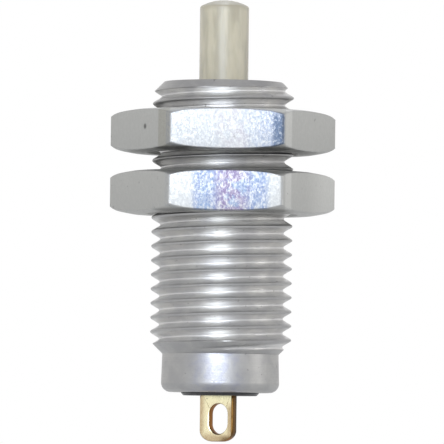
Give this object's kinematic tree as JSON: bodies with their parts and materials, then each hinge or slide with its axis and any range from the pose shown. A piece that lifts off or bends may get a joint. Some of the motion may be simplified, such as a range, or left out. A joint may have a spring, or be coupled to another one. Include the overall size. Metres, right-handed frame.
{
  "type": "momentary pushbutton switch",
  "caption": "Momentary pushbutton switch: threaded metal barrel with hexagon nuts, nylon plunger and one solder lug.",
  "frame": {"origin": "on the barrel's axis, in the plane of the lower nut's top face, where the panel bears", "axes": "+Z along the axis towards the plunger, -Y towards the pictured front, +X to the right of it"},
  "size_m": [0.0202, 0.0178, 0.0394],
  "materials": {
    "barrel_metal": "plated, turned",
    "nut_metal": "plated, satin",
    "nylon": "natural, slightly translucent",
    "brass": "stamped, bright",
    "contact_metal": "silver faced",
    "spring_steel": "drawn wire",
    "black_moulding": "moulded phenolic",
    "brown_moulding": "laminated phenolic tube"
  },
  "bodies": {
    "shell": {"barrel": "barrel_metal", "return_spring": "spring_steel", "ground_ring": "brass", "insulating_spacer": "brown_moulding", "fixed_contact": "brass", "terminal_base": "black_moulding", "terminal_lug": "brass"},
    "button": {"plunger": "nylon", "contact_stem": "brass", "moving_contact": "contact_metal"},
    "upper_nut": {"upper_nut": "nut_metal"},
    "lower_nut": {"lower_nut": "nut_metal"}
  },
  "joints": [
    {"name": "plunger_press", "type": "slide", "parent": "shell", "child": "button", "axis": [0, 0, 1], "range_m": [-0.0025, 0], "stiffness_N_per_m": 890, "springref_m": 0.0025, "deforming": ["return_spring"]},
    {"name": "upper_nut_run", "type": "slide", "parent": "shell", "child": "upper_nut", "axis": [0, 0, 1], "range_m": [0, 0.01397]},
    {"name": "lower_nut_run", "type": "slide", "parent": "shell", "child": "lower_nut", "axis": [0, 0, 1], "range_m": [-0.01143, 0.00127]}
  ]
}
